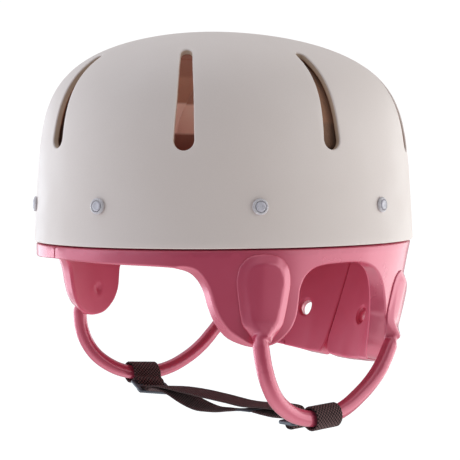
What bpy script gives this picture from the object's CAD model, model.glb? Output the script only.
# Hard shell helmet: the visual model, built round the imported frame.
# Lengths below are millimetres unless they are handed to Blender, which takes metres.
# Front of the helmet is -Y, the wearer's left is +X, +Z is up.
import math

import bmesh
import bpy
import numpy as np
from mathutils import Matrix, Vector
from mathutils.geometry import delaunay_2d_cdt
from mathutils.kdtree import KDTree


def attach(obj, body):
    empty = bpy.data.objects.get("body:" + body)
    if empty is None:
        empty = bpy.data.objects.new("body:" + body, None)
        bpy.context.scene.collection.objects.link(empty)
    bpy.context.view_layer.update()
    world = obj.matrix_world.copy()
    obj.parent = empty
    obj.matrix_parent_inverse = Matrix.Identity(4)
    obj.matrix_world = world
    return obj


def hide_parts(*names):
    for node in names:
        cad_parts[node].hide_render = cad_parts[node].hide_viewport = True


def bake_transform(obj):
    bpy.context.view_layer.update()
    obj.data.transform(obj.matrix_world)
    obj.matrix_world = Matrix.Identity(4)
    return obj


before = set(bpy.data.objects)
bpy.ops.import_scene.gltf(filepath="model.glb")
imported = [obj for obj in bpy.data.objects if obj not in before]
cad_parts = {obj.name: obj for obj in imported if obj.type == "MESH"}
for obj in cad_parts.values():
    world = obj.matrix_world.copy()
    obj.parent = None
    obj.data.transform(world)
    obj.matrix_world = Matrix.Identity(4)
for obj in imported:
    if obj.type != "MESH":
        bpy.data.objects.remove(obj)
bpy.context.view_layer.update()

MM = 0.001
scene = bpy.context.scene

# ================================================================ camera
VIEW_TURN, VIEW_DOWN = 0.949, 0.0454
camera = bpy.data.cameras.new("camera")
camera_object = bpy.data.objects.new("camera", camera)
scene.collection.objects.link(camera_object)
scene.camera = camera_object
camera.sensor_width = 36.0
camera.lens = 91.1
camera.shift_x = 0.00573
camera.shift_y = -0.0005
camera.clip_start, camera.clip_end = 0.02, 40.0
sight = Vector((-math.sin(VIEW_TURN) * math.cos(VIEW_DOWN), math.cos(VIEW_TURN) * math.cos(VIEW_DOWN),
                -math.sin(VIEW_DOWN)))
camera_object.location = Vector((682.1 * math.sin(VIEW_TURN), -682.1 * math.cos(VIEW_TURN), 35.87)) * MM
camera_object.rotation_euler = sight.to_track_quat('-Z', 'Y').to_euler()

# ================================================================ dimensions
HALF_LENGTH, HALF_WIDTH, SHELL_HEIGHT = 114.0, 98.5, 118.3
PLAN_POWER, WALL_TAPER, DOME_POWER, DOME_ROUND, CROWN_FORWARD = 2.05, 0.066, 5.8, 1.95, 7.4
SHELL_WALL, MERIDIAN = 3.7, 190.0
# each slot's angle, how far its top leans towards larger angles, and the height of its lower end
SLOTS = ((-0.9, 0.0, 51.2), (46.5, -3.4, 49.0), (89.6, -1.4, 50.0), (133.0, 0.0, 50.4),
         (180.0, 0.0, 50.4), (-133.0, 0.0, 50.4), (-89.6, 1.4, 50.0), (-46.5, 3.4, 49.0))
SLOT_HIGH, SLOT_WIDE, SLOT_NARROW = 102.0, 10.6, 6.2
RIVET_ANGLES = (20.8, 67.0, 108.5, 155.0, -155.0, -108.5, -67.0, -20.8)
RIVET_HEIGHT, RIVET_HEAD_D, RIVET_SHANK_D, RIVET_HOLE_D, RIVET_BORE_D = 20.9, 8.4, 5.0, 5.6, 2.8
PIN_HEAD_D, PIN_D = 5.2, 2.2
LINER_T, LINER_GAP, LINER_PROUD, LINER_TOP, SEAM_GAP, LEDGE = 8.5, 0.8, 1.2, 47.6, 0.2, 1.1
NAPE_HOLE_D, NAPE_HOLE_ANGLE, NAPE_HOLE_Z = 9.8, 158.7, -51.4
CROWN_STRAP_T, CROWN_GAP, CROWN_STRAP_HALF = 6.5, 1.5, 23.0
TAB_T, TAB_GAP, TAB_HALF, NECK_HALF, NECK_TOP = 3.3, 0.35, 14.6, 4.6, 9.6
FRONT_TAB, REAR_TAB = (67.6, -48.4, 2.0), (121.6, -57.4, 22.0)
FRONT_TAB_LENGTH, REAR_TAB_LENGTH = 45.5, 41.5
TAB_RIVET_UP = 14.5
CORD_D, CORE_D = 8.6, 3.6
LOOP_ROUTE = ((94.3, -46.9, -49.6), (94.9, -45.7, -58.0), (94.6, -42.3, -68.0),
              (92.9, -35.4, -78.0), (90.6, -24.2, -86.0), (88.9, -11.5, -90.3),
              (87.6, 1.5, -91.3), (85.8, 16.0, -88.5), (84.2, 29.0, -82.4),
              (83.3, 39.2, -75.3), (82.4, 46.9, -67.6), (80.6, 53.5, -59.6))
WRAP_AT = -1.0
WEB_T, WEB_W, WEB_LAYER, WRAP_R, STRAP_DRIFT = 1.1, 19.0, 0.3, 6.0, 3.8
# how far the webbing falls per mm towards the back, along its width, against the place across
ROLL_X = (-88.0, -83.0, -76.0, -66.0, -55.0, -45.0, -35.0, -25.0, -5.0, 15.0, 30.0)
ROLL = (0.085, 0.14, 0.16, 0.15, 0.107, 0.07, 0.04, 0.02, 0.02, 0.05, 0.0)
# the strap between the two slides: across, height
UPPER_LINE = ((-61.0, -96.2), (-53.0, -95.3), (-41.0, -94.7), (-25.0, -94.3), (-5.0, -94.1), (15.0, -94.0),
              (27.0, -93.6), (36.0, -92.6), (47.0, -91.3), (56.0, -90.6), (61.5, -90.8))
LOWER_LINE = ((36.5, -95.1), (27.0, -96.1), (15.0, -98.7), (5.0, -100.7), (-5.0, -101.9), (-15.0, -102.8),
              (-25.0, -102.1), (-35.0, -100.5), (-44.0, -98.6), (-53.0, -97.5), (-62.0, -97.8))
NEAR_TAIL = ((61.0, -94.3), (56.0, -94.8), (47.0, -95.0), (38.5, -94.9))
SEALED_TIP = 12.5
GLIDE_BAR, GLIDE_SLOT, GLIDE_T, GLIDE_RAIL = 1.9, 4.0, 2.0, 2.5
# each slide's middle (across, height) and how far its right end dips, in degrees
LEFT_GLIDE, RIGHT_GLIDE = (71.0, -95.4, -4.0), (-76.0, -98.8, 24.0)
# the two layers' way through a slide: along it, and how much of the full height they stand over it
THREAD = ((-7.6, 1.0), (-4.35, 1.0), (-3.55, 0.82), (-2.35, -0.82), (-1.75, -1.0),
          (1.75, -1.0), (2.35, -0.82), (3.55, 0.82), (4.35, 1.0), (7.6, 1.0))


# ================================================================ surfaces
def unit(v):
    return v / np.maximum(np.linalg.norm(v, axis=-1, keepdims=True), 1e-12)


def plan_radius(t):
    return (np.abs(np.cos(t)) ** PLAN_POWER + np.abs(np.sin(t)) ** PLAN_POWER) ** (-1.0 / PLAN_POWER)


def make_profile():
    phi = (math.pi / 2) * np.linspace(1.0, 0.0, 3001) ** 2
    s = np.sin(phi) ** (2.0 / DOME_POWER)
    ratio = (1.0 - WALL_TAPER * s) * np.cos(phi) ** (2.0 / DOME_ROUND)
    z = s * SHELL_HEIGHT
    mean = 0.5 * (HALF_LENGTH + HALF_WIDTH)
    run = np.concatenate([[0.0], np.cumsum(np.hypot(np.diff(z), np.diff(ratio * mean)))])
    return run / run[-1], z, ratio


RUN, RUN_Z, RUN_RATIO = make_profile()


def dome_base(t, z, ratio):
    r = plan_radius(t) * ratio
    return np.stack([HALF_WIDTH * np.sin(t) * r, -HALF_LENGTH * np.cos(t) * r - CROWN_FORWARD * (1.0 - ratio),
                     z + 0 * r], -1)


def dome_disk(x, y):
    v = np.hypot(x, y) / MERIDIAN
    t = np.arctan2(x, -y)
    z = np.where(v > 1.0, -(v - 1.0) * MERIDIAN, np.interp(v, RUN, RUN_Z))
    return dome_base(t, z, np.where(v > 1.0, 1.0, np.interp(v, RUN, RUN_RATIO)))


def dome_at(x, y, depth):
    h = 0.35
    p = dome_disk(x, y)
    n = unit(np.cross(dome_disk(x + h, y) - dome_disk(x - h, y), dome_disk(x, y + h) - dome_disk(x, y - h)))
    out = p - np.array([0.0, 0.0, 30.0])
    n = np.where(((n * out).sum(-1) < 0.0)[..., None], -n, n)
    return p - n * np.asarray(depth)[..., None]


def disk_of(t, z):
    v = np.where(np.asarray(z) > 0.0, np.interp(-np.asarray(z), -RUN_Z, RUN), 1.0 - np.asarray(z) / MERIDIAN)
    return np.stack([MERIDIAN * v * np.sin(t), -MERIDIAN * v * np.cos(t)], -1)


GIRTH_T = np.linspace(0.0, math.pi, 4001)
_r = plan_radius(GIRTH_T)
_x, _y = HALF_WIDTH * np.sin(GIRTH_T) * _r, -HALF_LENGTH * np.cos(GIRTH_T) * _r
GIRTH_S = np.concatenate([[0.0], np.cumsum(np.hypot(np.diff(_x), np.diff(_y)))])
HALF_GIRTH = float(GIRTH_S[-1])
LEAN_T = np.radians([0, 78, 90, 104, 118, 133, 150, 165, 180])
LEAN = np.array([0, 0, .05, .10, .145, .175, .265, .38, .41])
THICKEN = np.array([0, 0, 0, .03, .055, .055, .035, 0, 0])


def girth_of(degrees):
    return float(np.interp(math.radians(degrees), GIRTH_T, GIRTH_S))


def skirt(s, z):
    s, z = np.broadcast_arrays(np.asarray(s, float), np.asarray(z, float))
    side = np.where(s < 0.0, -1.0, 1.0)
    a = np.abs(s)
    side = np.where(a > HALF_GIRTH, -side, side)
    a = np.where(a > HALF_GIRTH, 2 * HALF_GIRTH - a, a)
    t = np.interp(a, GIRTH_S, GIRTH_T)
    v = np.interp(-z, -RUN_Z, RUN)
    p = dome_base(t, z, np.where(z > 0.0, np.interp(v, RUN, RUN_RATIO), 1.0))
    nx = np.sign(p[..., 0]) * np.abs(p[..., 0] / HALF_WIDTH) ** (PLAN_POWER - 1) / HALF_WIDTH
    ny = np.sign(p[..., 1]) * np.abs(p[..., 1] / HALF_LENGTH) ** (PLAN_POWER - 1) / HALF_LENGTH
    n = unit(np.stack([nx, ny, 0 * nx], -1))
    p = p + n * (np.minimum(z, 0.0) * np.interp(t, LEAN_T, LEAN))[..., None]
    p[..., 0] *= side
    return p


def skirt_normal(s, z):
    h = 0.6
    s, z = np.broadcast_arrays(np.asarray(s, float), np.asarray(z, float))
    n = unit(np.cross(skirt(s + h, z) - skirt(s - h, z), skirt(s, z + h) - skirt(s, z - h)))
    p = skirt(s, z)
    out = n[..., 0] * p[..., 0] + n[..., 1] * p[..., 1]
    return np.where((out < 0.0)[..., None], -n, n)


def skirt_at(s, z, depth):
    return skirt(s, z) - skirt_normal(s, z) * np.asarray(depth, float)[..., None]


def smoothstep(k):
    k = np.clip(k, 0.0, 1.0)
    return k * k * (3 - 2 * k)


def angle_at(s):
    a = np.abs(np.asarray(s, float))
    return np.interp(np.minimum(a, 2 * HALF_GIRTH - a), GIRTH_S, GIRTH_T)


def liner_thickness(s, z):
    return LINER_T + np.maximum(-np.asarray(z, float), 0.0) * np.interp(angle_at(s), LEAN_T, THICKEN)


def ledge_at(s):
    """Height below the rim where the liner steps out under the shell."""
    return 0.25 + 1.9 * np.interp(angle_at(s), LEAN_T, LEAN)


def liner_depth(s, z):
    k = smoothstep((-np.asarray(z) - ledge_at(s)) / LEDGE)
    return (SHELL_WALL + LINER_GAP) * (1 - k) + LINER_PROUD * k


def liner_at(s, z, depth):
    return skirt_at(s, z, liner_depth(s, z) + depth)


# ================================================================ mesh builders
def smooth_path(points, step, closed=False):
    pts = [np.array(p, float) for p in points]
    n = len(pts)
    out = []
    for i in range(n if closed else n - 1):
        p1, p2 = pts[i], pts[(i + 1) % n]
        p0 = pts[i - 1] if (closed or i) else p1 * 2 - p2
        p3 = pts[(i + 2) % n] if (closed or i + 2 < n) else p2 * 2 - p1
        m = max(1, int(round(float(np.linalg.norm(p2 - p1)) / step)))
        for j in range(m):
            u = j / m
            out.append(0.5 * ((2 * p1) + (p2 - p0) * u + (2 * p0 - 5 * p1 + 4 * p2 - p3) * u * u
                              + (3 * p1 - p0 - 3 * p2 + p3) * u ** 3))
    if not closed:
        out.append(pts[-1])
    return out


def straight_path(a, b, step):
    a, b = np.array(a, float), np.array(b, float)
    m = max(1, int(round(float(np.linalg.norm(b - a)) / step)))
    return [a + (b - a) * i / m for i in range(m)]


def evened(line, step, closed=False):
    """The same line with its points about a step apart."""
    p = np.array(line, float)
    if closed:
        p = np.vstack([p, p[:1]])
    run = np.concatenate([[0.0], np.cumsum(np.linalg.norm(np.diff(p, axis=0), axis=1))])
    m = max(3, int(round(run[-1] / step)))
    at = np.linspace(0.0, run[-1], m + 1)
    q = np.stack([np.interp(at, run, p[:, k]) for k in range(p.shape[1])], 1)
    return q[:-1] if closed else q


def area(loop):
    p = np.array(loop)
    q = np.roll(p, 1, 0)
    return 0.5 * float(np.sum(q[:, 0] * p[:, 1] - p[:, 0] * q[:, 1]))


def inset(p, d):
    u = unit(p - np.roll(p, 1, 0))
    v = unit(np.roll(p, -1, 0) - p)
    m = unit(np.stack([-(u + v)[:, 1], (u + v)[:, 0]], 1))
    k = np.maximum(0.55, m[:, 0] * -u[:, 1] + m[:, 1] * u[:, 0])
    return p + m * (d / k)[:, None]


def border_distance(p, loops):
    a = np.vstack(loops)
    b = np.vstack([np.roll(q, -1, 0) for q in loops])
    d = b - a
    dd = (d ** 2).sum(1)
    out = np.empty(len(p))
    for i in range(0, len(p), 1500):
        x, y = p[i:i + 1500, 0][:, None], p[i:i + 1500, 1][:, None]
        w = np.clip(((x - a[:, 0]) * d[:, 0] + (y - a[:, 1]) * d[:, 1]) / dd, 0, 1)
        out[i:i + 1500] = np.sqrt(((a[:, 0] + w * d[:, 0] - x) ** 2 + (a[:, 1] + w * d[:, 1] - y) ** 2).min(1))
    return out


def within(p, loop):
    a, b = loop, np.roll(loop, -1, 0)
    out = np.zeros(len(p), bool)
    dy = np.where(a[:, 1] == b[:, 1], 1e-12, b[:, 1] - a[:, 1])
    for i in range(0, len(p), 1500):
        x, y = p[i:i + 1500, 0][:, None], p[i:i + 1500, 1][:, None]
        cross = ((a[:, 1] > y) != (b[:, 1] > y)) & (x < (b[:, 0] - a[:, 0]) * (y - a[:, 1]) / dy + a[:, 0])
        out[i:i + 1500] = cross.sum(1) % 2 == 1
    return out


ROUNDED = tuple((1 - math.cos(math.pi / 2 * k / 5), 1 - math.sin(math.pi / 2 * k / 5)) for k in range(1, 6))
CRISP = ROUNDED + ((1.3, 0.0),)


def plate(outer, holes, grid, top, bottom, radius, steps=ROUNDED, creases=(), bevel=None):
    """A plate with eased edges. top and bottom take (x, y, drop): drop is the edge radius at the border
    and falls to 0 across it. With bevel, they also take how far a straight bevel falls there, and the
    distance to the border. Returns
    vertices in mm, faces, each face's side (0 top, 1 bottom, 2 wall) and each vertex's distance to the
    border."""
    loops = [np.array(outer, float) if area(outer) > 0 else np.array(outer, float)[::-1]]
    for h in holes:
        loops.append(np.array(h, float)[::-1] if area(h) > 0 else np.array(h, float))
    reach = [np.broadcast_to(np.asarray(radius(q), float), (len(q),)).copy() for q in loops]
    fall = [np.zeros(len(q)) if bevel is None else bevel(q) for q in loops]
    pts, drop, slope, edges, folds = [], [], [], [], []
    for q, r, c in zip(loops, reach, fall):
        k = sum(len(e) for e in pts)
        pts.append(q)
        drop.append(r)
        slope.append(c)
        edges += [(k + i, k + (i + 1) % len(q)) for i in range(len(q))]
    for q, r, c in zip(loops, reach, fall):
        for along, down in steps:
            ring = inset(q, r * along)
            keep = border_distance(ring, loops) > r * along * 0.88
            pts.append(ring[keep])
            drop.append((r * down)[keep])
            slope.append((c * max(1 - along, 0.0))[keep])
    for line in creases:
        k = sum(len(e) for e in pts)
        pts.append(np.array(line, float))
        drop.append(np.zeros(len(line)))
        slope.append(np.zeros(len(line)))
        folds += [(k + i, k + i + 1) for i in range(len(line) - 1)]
    placed = np.vstack(pts)
    tree = KDTree(len(placed))
    for i, p in enumerate(placed):
        tree.insert((p[0], p[1], 0.0), i)
    tree.balance()
    lo, hi = loops[0].min(0), loops[0].max(0)
    widest = max(float(r.max()) for r in reach)
    rows = []
    for j in range(int((hi[1] - lo[1]) / (grid * 0.866)) + 2):
        xs = lo[0] + (np.arange(int((hi[0] - lo[0]) / grid) + 2) + (0.5 if j % 2 else 0.0)) * grid
        rows.append(np.stack([xs, np.full(len(xs), lo[1] + j * grid * 0.866)], 1))
    inner = np.vstack(rows)
    inner = inner[within(inner, loops[0])]
    for q in loops[1:]:
        inner = inner[~within(inner, q)]
    border = np.vstack(loops)
    near = KDTree(len(border))
    for i, p in enumerate(border):
        near.insert((p[0], p[1], 0.0), i)
    near.balance()
    local = np.concatenate(reach)
    found = [near.find((p[0], p[1], 0.0)) for p in inner]
    gap = np.array([f[2] for f in found])
    own = local[np.array([f[1] for f in found])]
    inner = inner[gap > own + grid * 0.35]
    inner = inner[np.array([tree.find((p[0], p[1], 0.0))[2] for p in inner]) > grid * 0.5]
    pts = np.vstack([placed, inner])
    drop = np.concatenate(drop + [np.zeros(len(inner))])
    slope = np.concatenate(slope + [np.zeros(len(inner))])
    verts, _, faces, _, _, _ = delaunay_2d_cdt([Vector((p[0], p[1])) for p in pts], edges + folds, [], 0, 1e-7, False)
    assert len(verts) == len(pts)
    f = np.array([t for t in faces], int)
    c = pts[f].mean(1)
    keep = within(c, loops[0])
    for q in loops[1:]:
        keep &= ~within(c, q)
    f = f[keep]
    a, b, d = pts[f[:, 0]], pts[f[:, 1]], pts[f[:, 2]]
    flip = (b[:, 0] - a[:, 0]) * (d[:, 1] - a[:, 1]) - (b[:, 1] - a[:, 1]) * (d[:, 0] - a[:, 0]) < 0
    f[flip] = f[flip][:, ::-1]
    n = len(pts)
    away = border_distance(pts, loops)
    given = (pts[:, 0], pts[:, 1], drop) if bevel is None else (pts[:, 0], pts[:, 1], drop, slope, away)
    up, low = top(*given), bottom(*given)
    tri = [tuple(t) for t in f]
    polys = tri + [(n + t[2], n + t[1], n + t[0]) for t in tri] + [(j, i, n + i, n + j) for i, j in edges]
    side = np.concatenate([np.zeros(len(tri)), np.ones(len(tri)), np.full(len(edges), 2)]).astype(int)
    t = f[:200]
    facing = np.cross(up[t[:, 1]] - up[t[:, 0]], up[t[:, 2]] - up[t[:, 0]])
    if float(np.sum(facing * (up[t[:, 0]] - low[t[:, 0]]))) < 0:
        polys = [p[::-1] for p in polys]
    return np.vstack([up, low]), polys, side, np.concatenate([away, away])


def mesh_object(name, verts, faces, materials, side=None, which=(0, 0, 0), away=None, mirror=False, smooth=True):
    verts = np.array(verts, float) * MM
    if mirror:
        verts[:, 0] *= -1
        faces = [f[::-1] for f in faces]
    me = bpy.data.meshes.new(name)
    me.from_pydata(verts.tolist(), [], [tuple(int(i) for i in f) for f in faces])
    if smooth:
        me.shade_smooth()
    for m in materials:
        me.materials.append(m)
    if side is not None and len(materials) > 1:
        me.polygons.foreach_set("material_index", np.array(which, np.int32)[side])
    if away is not None:
        a = me.attributes.new("rim", 'FLOAT', 'POINT')
        a.data.foreach_set("value", np.exp(-np.asarray(away) / 1.6).astype(np.float32))
    me.update()
    ob = bpy.data.objects.new(name, me)
    scene.collection.objects.link(ob)
    return ob


def place_on(p, n, out=0.0):
    n = Vector(n)
    return Matrix.Translation(Vector(p) + n * out) @ n.to_track_quat('Z', 'Y').to_matrix().to_4x4()


def lathe(profile, place, segments=48, wave=None):
    """A closed profile of (radius, height) turned about the local Z of `place`."""
    verts, rings, faces = [], [], []
    for k, (r, h) in enumerate(profile):
        if r < 1e-6:
            rings.append([len(verts)])
            verts.append(place @ Vector((0, 0, h)))
        else:
            rings.append(list(range(len(verts), len(verts) + segments)))
            for i in range(segments):
                a = 2 * math.pi * i / segments
                verts.append(place @ Vector((r * math.cos(a), r * math.sin(a), h)))
    m = len(rings)
    closed = len(rings[0]) > 1 and len(rings[-1]) > 1
    for k in range(m if closed else m - 1):
        a, b = rings[k], rings[(k + 1) % m]
        for i in range(segments):
            j = (i + 1) % segments
            if len(a) == 1:
                faces.append((a[0], b[j], b[i]))
            elif len(b) == 1:
                faces.append((a[i], a[j], b[0]))
            else:
                faces.append((a[i], a[j], b[j], b[i]))
    return [tuple(v) for v in verts], faces


def turned(name, profile, place, mat, segments=48):
    verts, faces = lathe(profile, place, segments)
    ob = mesh_object(name, verts, faces, [mat])
    tidy(ob)
    ob.data.set_sharp_from_angle(angle=math.radians(38))
    return ob


def tidy(ob):
    bm = bmesh.new()
    bm.from_mesh(ob.data)
    bmesh.ops.recalc_face_normals(bm, faces=bm.faces)
    bm.to_mesh(ob.data)
    bm.free()


def tube(path, radii, bore, sides):
    """A round tube along a path, with a radius at each point. Returns vertices in mm and faces."""
    p = np.array(path, float)
    n = len(p)
    d = unit(np.gradient(p, axis=0))
    side = np.array([1.0, 0.0, 0.0])
    verts, outer, inner = [], [], []
    a = 2 * math.pi * np.arange(sides) / sides
    for i in range(n):
        side = unit(side - d[i] * side.dot(d[i]))
        up = np.cross(d[i], side)
        spoke = np.outer(np.cos(a), side) + np.outer(np.sin(a), up)
        outer.append(list(range(len(verts), len(verts) + sides)))
        verts += (p[i] + spoke * radii[i]).tolist()
        if bore[i] > 0:
            inner.append(list(range(len(verts), len(verts) + sides)))
            verts += (p[i] + spoke * bore[i]).tolist()
        else:
            inner.append(None)
    faces = []
    for i in range(n - 1):
        for k in range(sides):
            j = (k + 1) % sides
            faces.append((outer[i][k], outer[i][j], outer[i + 1][j], outer[i + 1][k]))
            if inner[i] and inner[i + 1]:
                faces.append((inner[i][j], inner[i][k], inner[i + 1][k], inner[i + 1][j]))
    for i, way in ((0, 1), (n - 1, -1)):
        if inner[i]:
            for k in range(sides):
                j = (k + 1) % sides
                faces.append((outer[i][j], outer[i][k], inner[i][k], inner[i][j])[::way])
        else:
            faces.append(tuple(outer[i][::-1] if way > 0 else outer[i]))
    for i in range(n - 1):
        if (inner[i] is None) != (inner[i + 1] is None):
            ring = inner[i] or inner[i + 1]
            faces.append(tuple(ring if inner[i] is None else ring[::-1]))
    return verts, faces


# ================================================================ materials
class Finish:
    """A Principled material with helpers for its node texture."""

    def __init__(self, name, colour, roughness, **fixed):
        self.m = bpy.data.materials.new(name)
        self.m.use_nodes = True
        self.t = self.m.node_tree
        self.b = self.t.nodes["Principled BSDF"]
        self.b.inputs["Base Color"].default_value = (*colour, 1.0)
        self.b.inputs["Roughness"].default_value = roughness
        for k, v in fixed.items():
            self.b.inputs[k.replace("_", " ")].default_value = v
        self.place = self.t.nodes.new("ShaderNodeTexCoord").outputs["Object"]

    def node(self, kind, **values):
        n = self.t.nodes.new(kind)
        for k, v in values.items():
            if k in ("operation", "data_type", "blend_type", "feature", "wave_type", "bands_direction", "distance"):
                setattr(n, k, v)
            else:
                n.inputs[k.replace("_", " ")].default_value = v
        return n

    def link(self, a, b):
        self.t.links.new(a, b)

    def stretched(self, sx, sy, sz):
        n = self.node("ShaderNodeMapping", Scale=(sx, sy, sz))
        self.link(self.place, n.inputs["Vector"])
        return n.outputs["Vector"]

    def noise(self, scale, detail=2.0, rough=0.5, at=None):
        n = self.node("ShaderNodeTexNoise", Scale=scale, Detail=detail, Roughness=rough)
        self.link(at or self.place, n.inputs["Vector"])
        return n.outputs[0]

    def cells(self, scale, feature='F1', at=None):
        n = self.node("ShaderNodeTexVoronoi", Scale=scale, feature=feature)
        self.link(at or self.place, n.inputs["Vector"])
        return n.outputs["Distance"]

    def spread(self, value, low, high, a=0.0, b=1.0):
        n = self.node("ShaderNodeMapRange", From_Min=low, From_Max=high, To_Min=a, To_Max=b)
        self.link(value, n.inputs["Value"])
        return n.outputs["Result"]

    def math(self, op, a, b):
        n = self.node("ShaderNodeMath", operation=op)
        for i, v in enumerate((a, b)):
            if isinstance(v, (int, float)):
                n.inputs[i].default_value = v
            else:
                self.link(v, n.inputs[i])
        return n.outputs[0]

    def blend(self, amount, a, b):
        n = self.node("ShaderNodeMix", data_type='RGBA')
        if isinstance(amount, (int, float)):
            n.inputs[0].default_value = amount
        else:
            self.link(amount, n.inputs[0])
        for i, v in ((6, a), (7, b)):
            if isinstance(v, tuple):
                n.inputs[i].default_value = (*v, 1.0)
            else:
                self.link(v, n.inputs[i])
        return n.outputs[2]

    def attribute(self, name):
        n = self.t.nodes.new("ShaderNodeAttribute")
        n.attribute_name = name
        return n.outputs["Fac"]

    def colour(self, out):
        self.link(out, self.b.inputs["Base Color"])

    def rough(self, out):
        self.link(out, self.b.inputs["Roughness"])

    def bump(self, height, depth, strength=1.0, under=None):
        n = self.node("ShaderNodeBump", Strength=strength, Distance=depth * MM)
        self.link(height, n.inputs["Height"])
        if under is not None:
            self.link(under, n.inputs["Normal"])
        return n.outputs["Normal"]

    def normal(self, out):
        self.link(out, self.b.inputs["Normal"])
        return self.m


def by_height(f, base, tones):
    """Bands of tone up the inside of the dome: (height in mm, colour above it, colour above it on the right side)."""
    split = f.t.nodes.new("ShaderNodeSeparateXYZ")
    f.link(f.place, split.inputs[0])
    right = f.spread(split.outputs[0], -0.048, -0.056)
    for height, colour, other in tones:
        colour = f.blend(right, colour, other)
        base = f.blend(f.spread(split.outputs[2], (height - 0.8) * MM, (height + 0.8) * MM), base, colour)
    return base


def shell_finish(name, light, dark, rough, rim, tones=()):
    f = Finish(name, light, rough)
    cloud = f.spread(f.noise(16, 3), 0.35, 0.65)
    grain = f.spread(f.noise(1400, 2), 0.4, 0.6)
    base = f.blend(f.math('MULTIPLY', cloud, 0.7), light, dark)
    base = f.blend(f.math('MULTIPLY', grain, 0.06), base, tuple(c * 0.8 for c in dark))
    base = f.blend(f.math('MULTIPLY', f.attribute("rim"), rim), base, tuple(min(1.0, c * 1.10) for c in light))
    f.colour(by_height(f, base, tones))
    f.rough(f.spread(f.noise(60, 3), 0.3, 0.7, rough - 0.05, rough + 0.06))
    fine = f.bump(f.noise(1100, 2), 0.05, 0.5)
    return f.normal(f.bump(f.noise(70, 2), 0.08, 0.6, fine))


def vinyl_finish(name, colour, rough=0.34, ior=2.1, coat=0.22):
    f = Finish(name, colour, rough, IOR=ior, Specular_IOR_Level=0.72, Coat_Weight=coat, Coat_Roughness=0.12,
               Subsurface_Weight=0.06, Subsurface_Scale=0.0010)
    f.b.inputs["Specular Tint"].default_value = (1.0, 0.46, 0.56, 1.0)
    f.b.inputs["Subsurface Radius"].default_value = (1.0, 0.35, 0.35)
    deep = tuple(c * k for c, k in zip(colour, (0.95, 0.86, 0.88)))
    pale = tuple(min(1.0, c * k) for c, k in zip(colour, (1.04, 1.12, 1.10)))
    base = f.blend(f.spread(f.noise(22, 3), 0.35, 0.65), deep, colour)
    base = f.blend(f.math('MULTIPLY', f.spread(f.noise(90, 3), 0.4, 0.7), 0.15), base, pale)
    f.colour(base)
    f.rough(f.spread(f.noise(60, 3), 0.3, 0.7, rough - 0.03, rough + 0.03))
    return f.normal(f.bump(f.noise(180, 2), 0.02, 0.5, f.bump(f.noise(70, 2), 0.05, 0.6)))


def foam_finish(name, a, b, tones=()):
    f = Finish(name, a, 0.92, Sheen_Weight=0.1, Sheen_Roughness=0.6)
    f.colour(by_height(f, f.blend(f.spread(f.noise(120, 4), 0.35, 0.65), a, b), tones))
    pores = f.bump(f.cells(900), 0.25, 0.8)
    return f.normal(f.bump(f.noise(300, 3), 0.25, 0.6, pores))


def nylon_finish(name, colour, rough, clear):
    f = Finish(name, colour, rough, Transmission_Weight=clear, IOR=1.53)
    f.colour(f.blend(f.spread(f.noise(500, 3), 0.35, 0.65), colour, tuple(c * 0.86 for c in colour)))
    f.rough(f.spread(f.noise(700, 2), 0.3, 0.7, rough - 0.05, rough + 0.1))
    return f.normal(f.bump(f.noise(1600, 2), 0.03, 0.6))


def steel_finish(name):
    f = Finish(name, (0.62, 0.61, 0.60), 0.32, Metallic=1.0)
    f.colour(f.blend(f.spread(f.noise(300, 3), 0.35, 0.65), (0.66, 0.65, 0.64), (0.5, 0.5, 0.5)))
    return f.normal(f.bump(f.noise(900, 2, at=f.stretched(1.0, 1.0, 6.0)), 0.03, 0.6))


def buckle_finish(name):
    f = Finish(name, (0.05, 0.058, 0.08), 0.36)
    base = f.blend(f.spread(f.noise(200, 3), 0.35, 0.65), (0.042, 0.050, 0.070), (0.066, 0.076, 0.10))
    base = f.blend(f.math('MULTIPLY', f.attribute("rim"), 0.5), base, (0.12, 0.135, 0.17))
    f.colour(base)
    f.rough(f.spread(f.noise(600, 2), 0.3, 0.7, 0.28, 0.46))
    return f.normal(f.bump(f.noise(1500, 2), 0.04, 0.6))


def core_finish(name):
    f = Finish(name, (0.62, 0.6, 0.55), 0.85)
    f.colour(f.blend(f.spread(f.cells(1100), 0.0, 0.6), (0.40, 0.38, 0.33), (0.72, 0.70, 0.64)))
    return f.normal(f.bump(f.cells(1100), 0.2, 0.8))


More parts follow.
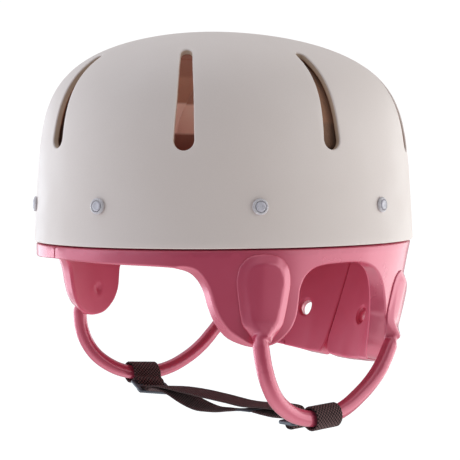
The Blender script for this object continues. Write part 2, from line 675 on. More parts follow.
def webbing_finish(name):
    """Plain weave on the strap's own lengthwise (v) and crosswise (u) millimetres."""
    f = Finish(name, (0.05, 0.035, 0.03), 0.85, Sheen_Weight=0.12, Sheen_Roughness=0.45, Specular_IOR_Level=0.2)
    f.b.inputs["Sheen Tint"].default_value = (0.9, 0.68, 0.66, 1.0)
    uv = f.t.nodes.new("ShaderNodeUVMap")
    uv.uv_map = "weave"
    split = f.t.nodes.new("ShaderNodeSeparateXYZ")
    f.link(uv.outputs[0], split.inputs[0])
    u, v = split.outputs[0], split.outputs[1]
    across = f.math('SINE', f.math('MULTIPLY', u, 2 * math.pi / 2.1), 0.0)
    odd = f.math('SIGN', across, 0.0)
    along = f.math('SINE', f.math('ADD', f.math('MULTIPLY', v, 2 * math.pi / 1.9),
                                  f.math('MULTIPLY', odd, math.pi / 2)), 0.0)
    rise = f.math('ADD', f.math('MULTIPLY', f.math('ABSOLUTE', across, 0.0), 0.35), f.math('MULTIPLY', along, 0.65))
    thread = f.noise(2500, 2)
    tone = f.math('ADD', f.spread(rise, -0.4, 1.0), f.spread(thread, 0.3, 0.7, -0.2, 0.2))
    cloth = f.blend(f.spread(tone, 0.1, 1.0), (0.004, 0.002, 0.0025), (0.20, 0.105, 0.105))
    tip = f.attribute("tip")
    f.colour(f.blend(tip, cloth, (0.060, 0.066, 0.088)))
    f.rough(f.spread(tip, 0.0, 1.0, 0.85, 0.45))
    woven = f.bump(f.math('MULTIPLY', rise, f.spread(tip, 0.0, 1.0, 1.0, 0.15)), 0.42, 1.0)
    return f.normal(f.bump(thread, 0.06, 0.7, woven))


IVORY = shell_finish("shell_moulded", (0.83, 0.720, 0.690), (0.785, 0.675, 0.640), 0.50, 0.35)
INSIDE = shell_finish("shell_inside", (0.30, 0.16, 0.10), (0.25, 0.12, 0.075), 0.62, 0.0,
                      ((64.0, (0.42, 0.21, 0.13), (0.90, 0.66, 0.50)), (83.0, (0.38, 0.19, 0.115), (0.39, 0.20, 0.12)),
                       (98.0, (0.29, 0.13, 0.075), (0.29, 0.13, 0.075)), (113.0, (0.40, 0.33, 0.33), (0.40, 0.33, 0.33))))
WALL = shell_finish("shell_slot_wall", (0.66, 0.52, 0.41), (0.60, 0.46, 0.36), 0.55, 0.0)
VINYL = vinyl_finish("vinyl_liner", (0.60, 0.083, 0.150), 0.25)
VINYL_WITHIN = vinyl_finish("vinyl_liner_inside", (0.78, 0.135, 0.225), 0.42, 1.5, 0.0)
VINYL_LOOP = vinyl_finish("vinyl_loops", (0.60, 0.083, 0.150), 0.24)
FOAM = foam_finish("crown_foam", (0.26, 0.14, 0.09), (0.32, 0.17, 0.11),
                   ((64.0, (0.42, 0.21, 0.13), (0.85, 0.62, 0.48)), (83.0, (0.38, 0.19, 0.115), (0.39, 0.20, 0.12)),
                    (98.0, (0.29, 0.13, 0.075), (0.29, 0.13, 0.075))))
NYLON = nylon_finish("rivet_nylon", (0.80, 0.75, 0.79), 0.30, 0.15)
PIN = nylon_finish("pin_nylon", (0.74, 0.70, 0.78), 0.30, 0.10)
STEEL = steel_finish("washer_steel")
WEB = webbing_finish("webbing_weave")
DARK = buckle_finish("buckle_plastic")
CORE = core_finish("cord_core")


def repaint(name, mat):
    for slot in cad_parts[name].material_slots:
        slot.material = mat


def finish_piece(ob, body, slot, *nodes):
    if body:
        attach(ob, body)
    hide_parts(*nodes)
    return ob


# ================================================================ shell
def slot_outline(angle, lean, floor):
    t0 = math.radians(angle)
    low, high = SLOT_WIDE / 2, SLOT_NARROW / 2
    a, b = floor + low, SLOT_HIGH - high * 0.8
    pts = [(low * math.cos(w), a + low * math.sin(w)) for w in math.pi * (1.0 + np.arange(17) / 16.0)]
    pts += [(low + (high - low) * k, a + (b - a) * k) for k in np.arange(1, 30) / 30.0]
    pts += [(high * math.cos(w), b + high * math.sin(w) * 0.8) for w in math.pi * np.arange(13) / 12.0]
    pts += [(-(low + (high - low) * k), a + (b - a) * k) for k in 1 - np.arange(1, 30) / 30.0]
    across, z = np.array(pts).T
    across = across + lean * np.maximum((z - 70.0) / (SLOT_HIGH - 70.0), 0.0) ** 2
    v = np.interp(-z, -RUN_Z, RUN)
    ratio = np.interp(v, RUN, RUN_RATIO)
    e = 1e-3
    speed = np.linalg.norm(dome_base(t0 + e, z, ratio) - dome_base(t0 - e, z, ratio), axis=-1) / (2 * e)
    return disk_of(t0 + across / speed, z)


def rivet_hole(angle, r):
    t0 = math.radians(angle)
    w = 2 * math.pi * np.arange(28) / 28
    z = RIVET_HEIGHT + r * np.sin(w)
    ratio = np.interp(np.interp(-z, -RUN_Z, RUN), RUN, RUN_RATIO)
    e = 1e-3
    speed = np.linalg.norm(dome_base(t0 + e, z, ratio) - dome_base(t0 - e, z, ratio), axis=-1) / (2 * e)
    return disk_of(t0 + r * np.cos(w) / speed, z)


def build_shell():
    rim = disk_of(2 * math.pi * np.arange(440) / 440, np.zeros(440))
    holes = [slot_outline(*q) for q in SLOTS] + [rivet_hole(a, RIVET_HOLE_D / 2) for a in RIVET_ANGLES]

    def radius(q):
        return 0.8 if len(q) > 200 else (0.75 if len(q) > 40 else 0.3)
    verts, faces, side, away = plate(rim, holes, 3.0, lambda x, y, d: dome_at(x, y, d),
                                     lambda x, y, d: dome_at(x, y, SHELL_WALL - d), radius)
    ob = mesh_object("shell_dome", verts, faces, [IVORY, INSIDE, WALL], side, (0, 1, 2), away)
    me = ob.data
    z = np.array([v.co.z for v in me.vertices])
    for p in me.polygons:      # the rim's own edge keeps the outer colour
        if p.material_index and max(z[i] for i in p.vertices) < 0.0030:
            p.material_index = 0
    return finish_piece(ob, "root", "moulded_shell", "outer_shell")


build_shell()

# ================================================================ rivets
for i, angle in enumerate(RIVET_ANGLES):
    s = girth_of(abs(angle)) * (1 if angle >= 0 else -1)
    place = place_on(skirt(s, RIVET_HEIGHT), skirt_normal(s, RIVET_HEIGHT))
    hd, sh, bo, ph, pr = RIVET_HEAD_D / 2, RIVET_SHANK_D / 2, RIVET_BORE_D / 2, PIN_HEAD_D / 2, PIN_D / 2
    deep = SHELL_WALL + 3.2
    collar = [(sh, -deep), (sh, 0.0), (sh + 0.15, 0.12), (hd - 0.25, 0.12), (hd - 0.05, 0.2), (hd, 0.4), (hd, 0.75),
              (hd - 0.12, 1.1), (hd - 0.4, 1.38), (hd - 0.8, 1.52), (ph + 0.75, 1.6), (ph + 0.45, 1.5),
              (ph + 0.3, 1.3), (ph + 0.25, 0.8), (ph + 0.1, 0.72), (bo, 0.72), (bo, -deep)]
    ob = turned("rivet_collar_%d" % (i + 1), collar, place, NYLON)
    finish_piece(ob, "root", "rivet_nylon", "shell_rivet_%d" % (i + 1))
    pin = [(0, -deep + 0.4), (pr - 0.3, -deep + 0.4), (pr, -deep + 0.7), (pr, 1.0), (ph - 0.2, 1.0), (ph, 1.15),
           (ph, 1.5), (ph - 0.18, 1.75), (ph - 0.5, 1.9), (ph - 0.9, 1.93), (ph - 1.2, 1.85), (0.8, 1.8), (0, 1.82)]
    ob = turned("rivet_pin_%d" % (i + 1), pin, place, PIN)
    finish_piece(ob, "root", "pin_nylon", "shell_rivet_pin_%d" % (i + 1))
    repaint("shell_rivet_washer_%d" % (i + 1), STEEL)


# ================================================================ liner
def liner_outline():
    g = girth_of
    end = HALF_GIRTH - SEAM_GAP
    low = [(SEAM_GAP, -7.4), (g(20), -8.3), (g(40), -9.2), (g(46.0), -10.7), (g(49.6), -14.8),
           (g(51.9), -21.5), (g(53.3), -30.0), (g(55.2), -38.0), (g(58.5), -45.4), (g(63.0), -49.2),
           (g(67.4), -50.0), (g(71.6), -48.4), (g(75.3), -43.0), (g(77.4), -36.0), (g(78.2), -28.0),
           (g(78.8), -20.5), (g(80.4), -14.8), (g(83.2), -11.0), (g(87.0), -9.5), (g(92.0), -9.2),
           (g(98.0), -9.4), (g(103.0), -11.0), (g(107.6), -15.0), (g(111.4), -21.5), (g(114.6), -30.0),
           (g(117.4), -39.5), (g(120.0), -49.0), (g(122.0), -57.0), (g(123.8), -64.0), (g(127.4), -69.0),
           (g(134.0), -72.2), (g(145.0), -75.0), (g(158.0), -76.8), (end - 9.0, -77.4), (end - 3.0, -75.8),
           (end - 0.4, -71.0)]
    path = smooth_path(low, 1.0)
    path += straight_path((end, -68.0), (end, LINER_TOP - 2), 1.5)
    path += [np.array((end, LINER_TOP - 2)), np.array((end - 0.6, LINER_TOP - 0.6)), np.array((end - 2, LINER_TOP))]
    path += straight_path((end - 2, LINER_TOP), (SEAM_GAP + 2, LINER_TOP), 2.0)[1:]
    path += [np.array((SEAM_GAP + 2, LINER_TOP)), np.array((SEAM_GAP + 0.6, LINER_TOP - 0.6)),
             np.array((SEAM_GAP, LINER_TOP - 2))]
    path += straight_path((SEAM_GAP, LINER_TOP - 2), (SEAM_GAP, -7.4), 1.5)[1:]
    return evened(path, 1.35, closed=True)


def nape_hole(grow=0.0):
    s0, r = girth_of(NAPE_HOLE_ANGLE), NAPE_HOLE_D / 2 + grow
    e = 0.5
    speed = float(np.linalg.norm(skirt(s0 + e, NAPE_HOLE_Z) - skirt(s0 - e, NAPE_HOLE_Z))) / (2 * e)
    w = 2 * math.pi * np.arange(36) / 36
    return np.stack([s0 + r * np.cos(w) / speed, NAPE_HOLE_Z + r * np.sin(w) * 0.94], 1)


def tab_frame(neck):
    """Maps a tab's own millimetres (across a, up b) to girth and height on the skirt."""
    angle, z0, tilt = neck
    s0 = girth_of(angle)
    c, s = math.cos(math.radians(tilt)), math.sin(math.radians(tilt))

    def on(a, b):
        e = 0.5
        q0, q1 = s0 + a * c + b * s, z0 + b * c - a * s
        speed = np.linalg.norm(skirt(q0 + e, q1) - skirt(q0 - e, q1), axis=-1) / (2 * e)
        return s0 + (a * c + b * s) / speed, q1
    return on


def build_liner():
    end = HALF_GIRTH
    first, last, lowest = girth_of(46.5), girth_of(66.0), girth_of(60.0)

    def soft(v):
        k = np.ones(7) / 7.0
        return np.convolve(np.concatenate([v[-3:], v, v[:3]]), k, 'valid')

    def leading(q):
        """1 along the flap's front edge, which is cut at a slant, and 0 elsewhere."""
        s, z = q[:, 0], q[:, 1]
        return np.where((s > first) & (s < last) & (z < -11.0), smoothstep((last - s) / (last - lowest)), 0.0)

    def radius(q):
        if len(q) < 60:
            return 1.3
        r = np.full(len(q), 1.15)
        r[q[:, 1] > -1.0] = 1.3
        r[q[:, 0] < 1.0] = 0.55
        r[q[:, 0] > end - 1.2] = 0.8
        r[q[:, 1] > LINER_TOP - 3.0] = 1.3
        return soft(r + (3.7 - 1.15) * leading(q))

    def bevel(q):
        return np.full(len(q), -1.3) if len(q) < 60 else soft(7.0 * leading(q))

    def bulge(s, z):
        """The skin swells a little between the places where it is held."""
        slow = 0.35 * np.sin(s / 17.0 + 0.6) * np.sin(z / 15.0 + 1.1) + 0.22 * np.sin(s / 7.3 + z / 11.0)
        return slow * smoothstep((-z - 4.0) / 6.0)
    dents = []
    for neck in (FRONT_TAB, REAR_TAB):
        u, v = tab_frame(neck)(0.0, TAB_RIVET_UP)
        dents.append((float(u), float(v)))

    def dent(s, z):
        d = 0.0 * s
        for u, v in dents:
            r = np.hypot(s - u, z - v)
            d = d + 1.5 * np.exp(-(r / 2.6) ** 4) - 0.35 * np.exp(-((r - 4.2) / 1.6) ** 2)
        return d

    hole_s, hole_z = girth_of(NAPE_HOLE_ANGLE), NAPE_HOLE_Z

    def slant(s, z):
        """1 at the nape hole, which runs at a slant, and 0 from 6 mm beside it."""
        return smoothstep((11.5 - np.hypot(s - hole_s, z - hole_z)) / 5.5)

    def outside(s, z, d, c, gap):
        return liner_at(s - 2.2 * slant(s, z), z,
                        np.where(c > 0.3, c, np.minimum(d, np.where(c < 0, 0.7, 1.2))) - bulge(s, z) * 0.35)

    def within_face(s, z, d, c, gap):
        eased = np.where(c > 0.3, np.maximum(1.0 - gap, 0.0), np.maximum(np.minimum(d, 1.2), -c))
        return liner_at(s + 1.8 * slant(s, z), z, liner_thickness(s, z) - eased - dent(s, z) + bulge(s + 5.0, z + 9.0) * 0.45)
    a, b = SEAM_GAP + 1.6, end - SEAM_GAP - 1.6
    ledge = []
    for down in (-0.15, 0.2, 0.55, 0.9, 1.25):
        line = np.array(straight_path((a, 0.0), (b, 0.0), 2.2))
        line[:, 1] = -ledge_at(line[:, 0]) - down
        ledge.append(line)
    verts, faces, side, away = plate(liner_outline(), [nape_hole()], 2.7, outside, within_face, radius, steps=CRISP,
                                     creases=ledge, bevel=bevel)
    for name, mirror in (("left", False), ("right", True)):
        ob = mesh_object("liner_%s_half" % name, verts, faces, [VINYL, VINYL_WITHIN], side, (0, 1, 0), away, mirror)
        finish_piece(ob, "root", "dipped_vinyl", "liner_" + name)


build_liner()


# ================================================================ crown straps
def crown_strap(name, corners, node):
    path = []
    for i in range(4):
        path += straight_path(corners[i], corners[(i + 1) % 4], 2.0)
    top = SHELL_WALL + CROWN_GAP

    def plump(x, y):
        return 0.35 * np.sin(x / 9.0) * np.sin(y / 13.0)
    verts, faces, side, away = plate(path, [], 3.4, lambda x, y, d: dome_at(x, y, top + d),
                                     lambda x, y, d: dome_at(x, y, top + CROWN_STRAP_T - d + plump(x, y)),
                                     lambda q: 2.2)
    ob = mesh_object(name, verts, faces, [FOAM], side, (0, 0, 0), away)
    finish_piece(ob, "root", "crown_foam", node)
    return ob


w = CROWN_STRAP_HALF
reach = math.sqrt(float(disk_of(0.0, LINER_TOP + 0.6)[1]) ** 2 - w * w)
crown_strap("crown_pad_long", [(-w, -reach), (w, -reach), (w, reach), (-w, reach)], "crown_strap_front_back")
crown_strap("crown_pad_left", [(w + 0.4, -w), (reach, -w), (reach, w), (w + 0.4, w)], "crown_strap_left")
crown_strap("crown_pad_right", [(-w - 0.4, w), (-reach, w), (-reach, -w), (-w - 0.4, -w)], "crown_strap_right")


# ================================================================ chin loops
def tab_outline(length):
    k = length / 45.5
    right = [(NECK_HALF, 0.0), (NECK_HALF + 0.9, 2.6 * k), (8.6, 6.4 * k), (11.2, 10.5 * k), (12.6, 17.0 * k),
             (13.9, 24.5 * k), (TAB_HALF, 31.5 * k), (13.4, 38.5 * k), (9.2, 43.6 * k), (3.2, 45.5 * k)]
    pts = right + [(-x, y) for x, y in reversed(right)]
    return evened(smooth_path(pts, 1.0), 1.2)


SLANT = ((0.05, 0.95), (0.25, 0.74), (0.5, 0.48), (0.75, 0.22), (0.89, 0.08), (0.96, 0.02), (1.0, 0.0), (1.15, 0.0))
SLANT_WIDE = 5.2


def tab_mesh(neck, length):
    on = tab_frame(neck)

    def rise(b):
        return TAB_T + (NECK_TOP - TAB_T) * smoothstep((13.0 - b) / 13.0)

    def top(a, b, d):
        u, v = on(a, b)
        thin = 1.0 - 0.62 * smoothstep((-a - 1.0) / 12.0) * smoothstep((b - 8.0) / 10.0)
        return skirt_at(u, v, LINER_PROUD - TAB_GAP - rise(b) * thin * (1.0 - d / SLANT_WIDE * 0.92))

    def under(a, b, d):
        u, v = on(a, b)
        return skirt_at(u, v, LINER_PROUD + 0.5)
    verts, faces, _, _ = plate(tab_outline(length), [], 1.9, top, under, lambda q: SLANT_WIDE, steps=SLANT)
    return verts, faces


LOOP = np.array(smooth_path(LOOP_ROUTE, 1.2))


def half_loop(name, neck, length, path, node_tab, body_name):
    """A tab and its half of the cord, fused and smoothed as one dipped piece."""
    verts, faces = tab_mesh(neck, length)
    first, second = path[0], path[3]
    back = unit(first - second)
    lead = [first + back * k for k in (7.0, 5.5, 4.0, 2.7, 1.4)]
    p = np.vstack([lead, path])
    run = np.concatenate([[0.0], np.cumsum(np.linalg.norm(np.diff(p, axis=0), axis=1))]) - 7.0
    radii = CORD_D / 2 * np.where(run < 0, 0.55 + 0.45 * smoothstep((run + 7.0) / 6.0), 1.0)
    bore = np.where(run > 1.0, CORE_D / 2 + 0.3, 0.0)
    tv, tf = tube(p, radii, bore, 40)
    k = len(verts)
    ob = mesh_object(name, np.vstack([verts, np.array(tv)]), list(faces) + [tuple(i + k for i in f) for f in tf],
                     [VINYL_LOOP], mirror=body_name == "right_loop")
    tidy(ob)
    m = ob.modifiers.new("fuse", 'REMESH')
    m.mode = 'VOXEL'
    m.voxel_size = 0.55 * MM
    dg = bpy.context.evaluated_depsgraph_get()
    me = bpy.data.meshes.new_from_object(ob.evaluated_get(dg))
    ob.modifiers.clear()
    ob.data = me
    bm = bmesh.new()
    bm.from_mesh(me)
    bm.verts.ensure_lookup_table()
    sx = -1.0 if body_name == "right_loop" else 1.0
    n0 = Vector((first[0] * sx, first[1], first[2])) * MM
    everything = list(bm.verts)
    for _ in range(3):
        bmesh.ops.smooth_vert(bm, verts=everything, factor=0.5, use_axis_x=True, use_axis_y=True, use_axis_z=True)
    crook = [v for v in bm.verts if (v.co - n0).length < 0.0125]
    for _ in range(14):
        bmesh.ops.smooth_vert(bm, verts=crook, factor=0.5, use_axis_x=True, use_axis_y=True, use_axis_z=True)
    bm.to_mesh(me)
    bm.free()
    me.shade_smooth()
    me.materials.clear()
    me.materials.append(VINYL_LOOP)
    start = Vector(tuple(first + back * 3.0)) * MM
    stop = Vector(tuple(path[int(min(len(path) - 1, 14))])) * MM
    start.x *= sx
    stop.x *= sx
    side = "right" if sx < 0 else "left"
    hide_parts("%s_chin_loop" % side, node_tab)
    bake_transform(ob)
    return ob


split = int(np.argmin(np.abs(LOOP[:, 1] - WRAP_AT)))
for side in ("left", "right"):
    half_loop("loop_%s_front" % side, FRONT_TAB, FRONT_TAB_LENGTH, LOOP[:split + 1], "%s_front_tab" % side, side + "_loop")
    half_loop("loop_%s_rear" % side, REAR_TAB, REAR_TAB_LENGTH, LOOP[split:][::-1], "%s_rear_tab" % side, side + "_loop")
    for end in ("front", "rear"):
        repaint("%s_%s_tab_rivet" % (side, end), NYLON)
    repaint(side + "_loop_core", CORE)


# ================================================================ chin strap
def tangent_angle(p, centre, r, way):
    d = float(np.hypot(*(p - centre)))
    return math.atan2(p[1] - centre[1], p[0] - centre[0]) + way * math.acos(r / d)


def beside(line, d):
    line = np.asarray(line, float)
    t = unit(np.gradient(line, axis=0))
    return line + np.stack([-t[:, 1], t[:, 0]], 1) * d


def loop_at(y):
    fine = np.array(smooth_path(LOOP_ROUTE, 0.4))
    i = int(np.argmin(np.abs(fine[1:-1, 1] - y))) + 1
    return fine[i], unit(fine[i + 1] - fine[i - 1])


WRAP, WRAP_DIR = loop_at(WRAP_AT)
FAR_WRAP = loop_at(WRAP_AT - STRAP_DRIFT)[0]
LEAN_PER_X = float(WRAP_DIR[0] / WRAP_DIR[1] / WRAP[0])


def stand(p, y):
    """Where the strap's points p (across, height) stand, y from the middle of its width."""
    drift = STRAP_DRIFT * np.clip((p[:, 0] - WRAP[0]) / (2 * WRAP[0]), -1.0, 0.0)
    return np.stack([p[:, 0] + LEAN_PER_X * p[:, 0] * y, WRAP_AT + y + drift,
                     p[:, 1] - np.interp(p[:, 0], ROLL_X, ROLL) * y], -1)


def softened(line, times):
    line = np.array(line, float)
    for _ in range(times):
        line[1:-1] = (line[:-2] + 2 * line[1:-1] + line[2:]) / 4
    return line


def threaded(glide):
    """A slide's place, and the two layers that pass over its end bars and under the middle one."""
    centre, dip = np.array(glide[:2]), math.radians(-glide[2])
    d = np.array([math.cos(dip), math.sin(dip)])
    n = np.array([-d[1], d[0]])
    over = GLIDE_T / 2 + 0.35 + WEB_T + WEB_LAYER / 2
    middle = evened([centre + d * x + n * (k * over) for x, k in THREAD], 0.3)
    middle = softened(middle, 5)
    gap = (WEB_T + WEB_LAYER) / 2
    return (centre, d), beside(middle, gap), beside(middle, -gap)


GLIDE_L, UPPER_L, LOWER_L = threaded(LEFT_GLIDE)
GLIDE_R, UPPER_R, LOWER_R = threaded(RIGHT_GLIDE)


def strap_line():
    near, far = np.array([WRAP[0], WRAP[2] + 0.75]), np.array([-FAR_WRAP[0], FAR_WRAP[2] + 0.5])
    upper_r = UPPER_R[:-3]

    def turn(centre, first, second, radius):
        a, b = tangent_angle(first, centre, radius, -1), tangent_angle(second, centre, radius, 1)
        while b > a:
            b -= 2 * math.pi
        w = a + (b - a) * np.linspace(0, 1, 40)
        return centre + np.stack([np.cos(w), np.sin(w)], 1) * radius

    def run(points):
        return np.array(smooth_path(points, 0.6))
    line = np.vstack([run(list(LOWER_LINE) + [LOWER_R[-1]])[:-1], LOWER_R[::-1], turn(far, LOWER_R[0], upper_r[0], WRAP_R + 0.4),
                      upper_r, run([upper_r[-1]] + list(UPPER_LINE) + [UPPER_L[0]])[1:-1], UPPER_L,
                      turn(near, UPPER_L[-1], LOWER_L[-1], WRAP_R), LOWER_L[::-1],
                      run([LOWER_L[0]] + list(NEAR_TAIL))[1:]])
    return softened(evened(line, 0.45), 3)


def ribbon(name, whole, spans, mat):
    """Webbing along parts of a line in the XZ plane, with rounded selvedges and lengthwise ribs."""
    t = unit(np.gradient(whole, axis=0))
    across = np.stack([-t[:, 1], t[:, 0]], 1)
    length = np.concatenate([[0.0], np.cumsum(np.linalg.norm(np.diff(whole, axis=0), axis=1))])
    m = 46
    half = WEB_W / 2
    u = np.sin(np.linspace(-0.5, 0.5, m) * math.pi * 0.98) / math.sin(0.49 * math.pi) * half
    u = 0.35 * u + 0.65 * np.linspace(-half, half, m)
    edge = np.clip((np.abs(u) - (half - WEB_T * 0.6)) / (WEB_T * 0.6), 0, 1)
    thick = WEB_T / 2 * np.sqrt(np.maximum(0.02, 1 - edge ** 2))
    ribs = 0.045 * np.cos(2 * math.pi * u / 1.27) * (1 - edge)
    verts, uv, faces, base = [], [], [], 0
    for first, last in spans:
        line, nrm, run = whole[first:last + 1], across[first:last + 1], length[first:last + 1]
        n = len(line)
        for sgn in (1.0, -1.0):
            h = sgn * (thick - 0.05 + ribs)
            x = line[:, 0][:, None] + nrm[:, 0][:, None] * h
            z = line[:, 1][:, None] + nrm[:, 1][:, None] * h
            wide = (u[None, :] + 0 * x).ravel()
            verts.append(stand(np.stack([x.ravel(), z.ravel()], 1), wide))
            uv.append(np.stack([wide, (run[:, None] + 0 * x).ravel()], -1))

        def idx(side, i, j):
            return base + side * n * m + i * m + j
        for i in range(n - 1):
            for j in range(m - 1):
                faces.append((idx(0, i, j), idx(0, i, j + 1), idx(0, i + 1, j + 1), idx(0, i + 1, j)))
                faces.append((idx(1, i, j), idx(1, i + 1, j), idx(1, i + 1, j + 1), idx(1, i, j + 1)))
            for j in (0, m - 1):
                q = (idx(0, i, j), idx(0, i + 1, j), idx(1, i + 1, j), idx(1, i, j))
                faces.append(q if j == 0 else q[::-1])
        for i in (0, n - 1):
            for j in range(m - 1):
                q = (idx(0, i, j), idx(1, i, j), idx(1, i, j + 1), idx(0, i, j + 1))
                faces.append(q if i == 0 else q[::-1])
        base += 2 * n * m
    verts, uv = np.vstack(verts), np.vstack(uv)
    ob = mesh_object(name, verts, faces, [mat])
    layer = ob.data.uv_layers.new(name="weave")
    loops = np.empty(len(ob.data.loops), np.int32)
    ob.data.loops.foreach_get("vertex_index", loops)
    layer.data.foreach_set("uv", uv[loops].astype(np.float32).ravel())
    tip = ob.data.attributes.new("tip", 'FLOAT', 'POINT')
    tip.data.foreach_set("value", np.clip((SEALED_TIP - uv[:, 1]) / 0.5, 0, 1).astype(np.float32))
    tidy(ob)
    ob.data.set_sharp_from_angle(angle=math.radians(60))
    return ob


# The webbing is cut in four where one part of it hands over to the next, so that it follows both slides.
LINE = strap_line()


def crossing(x):
    hit = np.flatnonzero(np.diff(np.sign(LINE[:, 0] - x)))
    assert len(hit) == 2
    return int(hit[0]), int(hit[1])


MIDDLE = crossing(0.0)[1]
RIGHT_LOW, RIGHT_HIGH = crossing(-77.0)
LEFT_HIGH, LEFT_LOW = crossing(71.0)
for label, spans, one, two, start, end in (
        ("webbing_right", [(0, RIGHT_LOW), (RIGHT_HIGH, MIDDLE)], "strap", "right_buckle", (-50, -3, -97), (-66.5, -3, -98)),
        ("webbing_left", [(MIDDLE, LEFT_HIGH), (LEFT_LOW, len(LINE) - 1)], "strap", "left_buckle", (46, -1, -93), (62.5, -1, -93)),
        ("webbing_right_wrap", [(RIGHT_LOW, RIGHT_HIGH)], "right_buckle", "strap", (-83.5, -4, -95), (-88, -4.5, -92)),
        ("webbing_left_wrap", [(LEFT_HIGH, LEFT_LOW)], "left_buckle", "strap", (79, -1, -93.5), (85.5, -1, -91.5))):
    strap = ribbon(label, LINE, spans, WEB)
    tuple(v * MM for v in start)
    tuple(v * MM for v in end)
    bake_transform(strap)
    finish_piece(strap, "", "webbing", "chin_strap")


def slide_buckle(name, centre, d, body, node):
    length = 3 * GLIDE_BAR + 2 * GLIDE_SLOT
    width = WEB_W + 0.9 + 2 * GLIDE_RAIL
    n = np.array([-d[1], d[0]])
    r = 2.2
    x1, y1 = length / 2, width / 2
    pts = []
    for cx, cy, a0 in ((x1 - r, y1 - r, 0), (-x1 + r, y1 - r, 90), (-x1 + r, -y1 + r, 180), (x1 - r, -y1 + r, 270)):
        pts += [(cx + r * math.cos(math.radians(a0 + 9 * i)), cy + r * math.sin(math.radians(a0 + 9 * i)))
                for i in range(11)]
    wide, h0, h1 = WEB_W / 2 + 0.45, GLIDE_BAR / 2, GLIDE_BAR / 2 + GLIDE_SLOT

    def hole(xa, xb):
        q = 0.5
        out = []
        for cx, cy, a0 in ((xb - q, wide - q, 0), (xa + q, wide - q, 90), (xa + q, -wide + q, 180), (xb - q, -wide + q, 270)):
            out += [(cx + q * math.cos(math.radians(a0 + 22.5 * i)), cy + q * math.sin(math.radians(a0 + 22.5 * i)))
                    for i in range(5)]
        return evened(out, 0.8, closed=True)

    def face(sgn):
        def at(x, y, drop):
            p = d[None, :] * x[:, None] + n[None, :] * (sgn * (GLIDE_T / 2 - drop))[:, None]
            return stand(centre[None, :] + 0 * p, y) + np.stack([p[:, 0], 0 * x, p[:, 1]], 1)
        return at
    verts, faces, side, away = plate(evened(pts, 0.8, closed=True), [hole(-h1, -h0), hole(h0, h1)], 1.4,
                                     face(1.0), face(-1.0), lambda q: 0.8 if len(q) > 70 else 0.65)
    ob = mesh_object(name, verts, faces, [DARK], side, (0, 0, 0), away)
    return finish_piece(ob, body, "buckle_plastic", node)


slide_buckle("slide_right", *GLIDE_R, "right_buckle", "right_slide_buckle")
slide_buckle("slide_left", *GLIDE_L, "left_buckle", "left_slide_buckle")

# ================================================================ studio
scene.view_settings.view_transform = 'Standard'
scene.view_settings.look = 'None'
world = bpy.data.worlds.new("studio")
scene.world = world
world.use_nodes = True
wt = world.node_tree
wt.nodes.clear()
out = wt.nodes.new("ShaderNodeOutputWorld")
seen, lit, pick = (wt.nodes.new(k) for k in ("ShaderNodeBackground", "ShaderNodeBackground", "ShaderNodeMixShader"))
path = wt.nodes.new("ShaderNodeLightPath")
seen.inputs["Color"].default_value = (1, 1, 1, 1)
seen.inputs["Strength"].default_value = 1.05
# Broad soft panels round the object: turn from the camera and height in degrees, sharpness, brightness, tint.
COOL, WARM, PLAIN = (0.76, 0.84, 0.90), (0.80, 0.84, 0.83), (0.8, 0.8, 0.8)
PANELS = ((80, 0, 6, 0.90, WARM), (-80, 0, 6, 0.50, COOL), (-45, 5, 8, 0.25, COOL), (120, 0, 6, 0.20, WARM), (-120, 0, 6, 0.20, COOL),
          (165, 0, 6, 0.30, PLAIN), (-165, 0, 6, 0.35, PLAIN), (-60, 45, 6, 0.75, COOL), (120, 45, 6, 0.35, WARM),
          (-120, 45, 6, 0.60, COOL), (180, 45, 6, 0.30, PLAIN), (0, 90, 6, 0.72, PLAIN), (0, 70, 10, 0.35, PLAIN),
          (0, -50, 6, 0.47, PLAIN), (-48, -42, 14, 0.90, PLAIN), (90, -50, 6, 1.15, PLAIN), (-90, -50, 6, 0.70, PLAIN),
          (180, -42, 6, 0.45, PLAIN), (0, -90, 6, 1.30, PLAIN), (65, 22, 22, 0.20, WARM),
          (-80, 22, 22, 0.45, COOL), (-90, 0, 22, 0.45, COOL), (-115, -12, 22, 0.45, COOL))
# Tall soft boxes with straight sides: from and to as turns from the camera, lowest and highest direction
# in degrees, how soft the edge is, brightness.
BOXES = ((52, 102, -26, 40, 0.10, 1.05, WARM), (100, 152, -24, 14, 0.12, 2.10, WARM),
         (-110, -66, -24, 24, 0.12, 0.55, COOL), (-154, -110, -24, 10, 0.12, 2.60, COOL))


def maths(op, a, b):
    n = wt.nodes.new("ShaderNodeMath")
    n.operation = op
    for i, v in enumerate((a, b)):
        if isinstance(v, (int, float)):
            n.inputs[i].default_value = v
        else:
            wt.links.new(v, n.inputs[i])
    return n.outputs[0]


where = wt.nodes.new("ShaderNodeTexCoord")


def towards(turn_by, height):
    a, e = VIEW_TURN + math.radians(turn_by), math.radians(height)
    return math.sin(a) * math.cos(e), -math.cos(a) * math.cos(e), math.sin(e)


def along(direction):
    n = wt.nodes.new("ShaderNodeVectorMath")
    n.operation = 'DOT_PRODUCT'
    n.inputs[1].default_value = direction
    wt.links.new(where.outputs["Generated"], n.inputs[0])
    return n.outputs["Value"]


def beyond(value, limit, soft):
    n = wt.nodes.new("ShaderNodeMapRange")
    n.interpolation_type = 'SMOOTHSTEP'
    n.inputs["From Min"].default_value = limit - soft / 2
    n.inputs["From Max"].default_value = limit + soft / 2
    wt.links.new(value, n.inputs["Value"])
    return n.outputs["Result"]


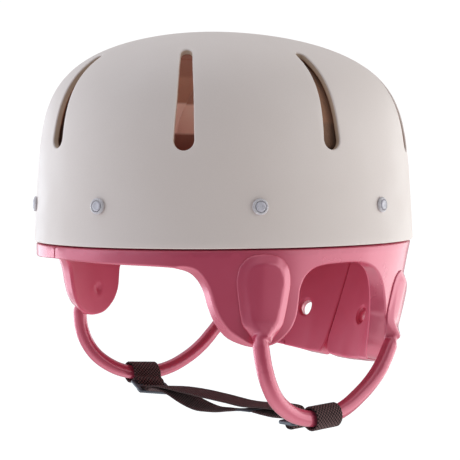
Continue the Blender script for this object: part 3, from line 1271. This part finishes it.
def tinted(value, tint):
    n = wt.nodes.new("ShaderNodeVectorMath")
    n.operation = 'SCALE'
    n.inputs[0].default_value = tint
    wt.links.new(value, n.inputs["Scale"])
    return n.outputs["Vector"]


def added(a, b):
    n = wt.nodes.new("ShaderNodeVectorMath")
    wt.links.new(a, n.inputs[0])
    wt.links.new(b, n.inputs[1])
    return n.outputs["Vector"]


glow = None
for turn_by, height, sharp, bright, tint in PANELS:
    fall = maths('MULTIPLY', maths('SUBTRACT', along(towards(turn_by, height)), 1.0), float(sharp))
    panel = tinted(maths('MULTIPLY', maths('EXPONENT', fall, 0.0), bright), tint)
    glow = panel if glow is None else added(glow, panel)
for first, last, low, high, soft, bright, tint in BOXES:
    box = maths('MULTIPLY', beyond(along(towards(first + 90, 0)), 0.0, soft), beyond(along(towards(last - 90, 0)), 0.0, soft))
    box = maths('MULTIPLY', box, beyond(along((0.0, 0.0, 1.0)), math.sin(math.radians(low)), soft))
    box = maths('MULTIPLY', box, beyond(along((0.0, 0.0, -1.0)), -math.sin(math.radians(high)), soft))
    glow = added(glow, tinted(maths('MULTIPLY', box, bright), tint))
wt.links.new(glow, lit.inputs["Color"])
lit.inputs["Strength"].default_value = 1.0
wt.links.new(path.outputs["Is Camera Ray"], pick.inputs[0])
wt.links.new(lit.outputs[0], pick.inputs[1])
wt.links.new(seen.outputs[0], pick.inputs[2])
wt.links.new(pick.outputs[0], out.inputs["Surface"])

floor_mesh = bpy.data.meshes.new("floor")
floor_mesh.from_pydata([(-8, -8, -0.42), (8, -8, -0.42), (8, 8, -0.42), (-8, 8, -0.42)], [], [(0, 1, 2, 3)])
floor = bpy.data.objects.new("floor", floor_mesh)
scene.collection.objects.link(floor)
pale = Finish("pale_floor", (0.9, 0.9, 0.9), 0.8)
pale.b.inputs["Emission Color"].default_value = (1, 1, 1, 1)
pale.b.inputs["Emission Strength"].default_value = 0.40
pale.colour(pale.blend(pale.noise(3.0), (0.9, 0.9, 0.9), (0.92, 0.92, 0.92)))
floor_mesh.materials.append(pale.m)
floor.visible_diffuse = floor.visible_glossy = floor.visible_shadow = False      # lit, but it adds no light

# ================================================================ sizes
bpy.context.view_layer.update()
